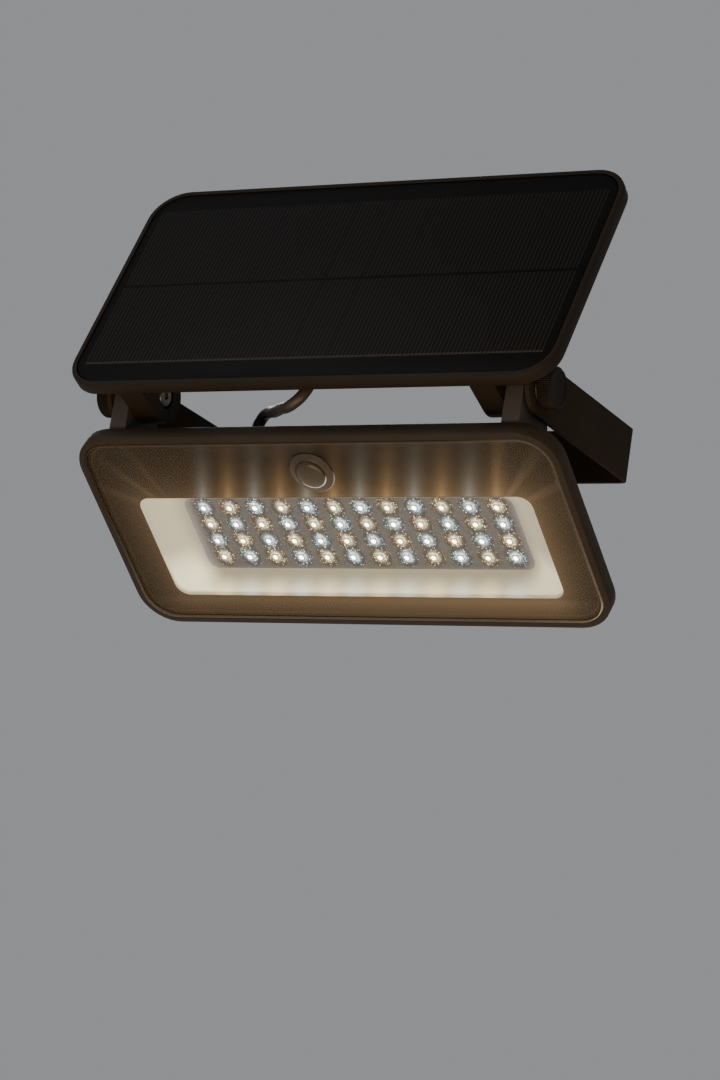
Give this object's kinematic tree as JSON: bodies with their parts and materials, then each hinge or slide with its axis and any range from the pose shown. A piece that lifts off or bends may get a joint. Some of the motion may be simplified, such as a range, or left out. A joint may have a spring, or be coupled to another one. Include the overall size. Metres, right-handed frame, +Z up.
{
  "type": "solar flood light",
  "caption": "Wall-mounted solar flood light: a U-bracket carries a tilting LED head with a motion sensor and a tilting solar panel, clamped by thumb knobs at the sides.",
  "frame": {"origin": "middle of the bracket's back face, where it lies on the wall, at the height of the hinge axis", "axes": "+X to the right as one faces the light, +Y into the wall, +Z up"},
  "size_m": [0.239, 0.1175, 0.1904],
  "materials": {
    "bracket_paint": "matt black powder coat",
    "shell_black": "fine matt texture",
    "knob_black": "satin, knurled",
    "fastener_steel": "zinc plated",
    "insert_brass": "machined",
    "washer_nylon": "natural nylon",
    "seal_rubber": "matt",
    "lens_clear": "clear with a moulded prism texture",
    "reflector_white": "smooth white",
    "board_white": "white solder mask on an aluminium core",
    "led_resin": "phosphor resin in white packages",
    "board_green": "solder mask",
    "cell_wrap": "blue film over a filled metal can",
    "sensor_plastic": "milky",
    "panel_clear": "glossy clear cover",
    "solar_cells": "near-black silicon",
    "cable_jacket": "matt"
  },
  "bodies": {
    "bracket": {"wall_bracket": "bracket_paint", "hinge_bolt_left": "fastener_steel", "hinge_bolt_right": "fastener_steel", "friction_washer_left": "washer_nylon", "friction_washer_right": "washer_nylon", "knob_washer_left": "fastener_steel", "knob_washer_right": "fastener_steel"},
    "head": {"front_bezel": "shell_black", "lens": "lens_clear", "lens_seal": "seal_rubber", "rear_housing": "shell_black", "housing_gasket": "seal_rubber", "battery_cover": "shell_black", "battery_cradle": "shell_black", "battery_cell_upper": "cell_wrap", "battery_cell_lower": "cell_wrap", "reflector": "reflector_white", "led_board": "board_white", "led_row_1": "led_resin", "led_row_2": "led_resin", "led_row_3": "led_resin", "led_row_4": "led_resin", "sensor_dome": "sensor_plastic", "sensor_board": "board_green", "sensor_can": "fastener_steel", "control_board": "board_green", "button_switch": "sensor_plastic", "button_ring": "shell_black", "bezel_screw_left_1": "fastener_steel", "bezel_screw_left_2": "fastener_steel", "bezel_screw_left_3": "fastener_steel", "bezel_screw_left_4": "fastener_steel", "bezel_screw_right_1": "fastener_steel", "bezel_screw_right_2": "fastener_steel", "bezel_screw_right_3": "fastener_steel", "bezel_screw_right_4": "fastener_steel", "battery_screw_left": "fastener_steel", "battery_screw_right": "fastener_steel", "head_gland": "seal_rubber", "link_cable": "cable_jacket"},
    "panel": {"panel_frame": "shell_black", "panel_glass": "panel_clear", "cell_sheet": "solar_cells", "junction_box": "shell_black", "junction_lid": "shell_black", "lid_screw_1": "fastener_steel", "lid_screw_2": "fastener_steel", "panel_gland": "seal_rubber"},
    "mode_button": {"mode_button": "seal_rubber"},
    "left_knob": {"thumb_knob_left": "knob_black", "knob_insert_left": "insert_brass"},
    "right_knob": {"thumb_knob_right": "knob_black", "knob_insert_right": "insert_brass"}
  },
  "joints": [
    {"name": "head_tilt", "type": "hinge", "parent": "bracket", "child": "head", "pos_m": [0, -0.092, 0], "axis": [1, 0, 0], "range_deg": [-36, 10], "deforming": ["link_cable"]},
    {"name": "panel_tilt", "type": "hinge", "parent": "bracket", "child": "panel", "pos_m": [0, -0.092, 0], "axis": [1, 0, 0], "range_deg": [-36, 6], "deforming": ["link_cable"]},
    {"name": "left_knob_turn", "type": "hinge", "parent": "bracket", "child": "left_knob", "pos_m": [-0.1085, -0.092, 0], "axis": [1, 0, 0], "continuous": true},
    {"name": "right_knob_turn", "type": "hinge", "parent": "bracket", "child": "right_knob", "pos_m": [0.1085, -0.092, 0], "axis": [1, 0, 0], "continuous": true},
    {"name": "mode_button_press", "type": "slide", "parent": "head", "child": "mode_button", "axis": [0, -0.5519, -0.8339], "range_m": [0, 0.0008], "stiffness_N_per_m": 900}
  ]
}
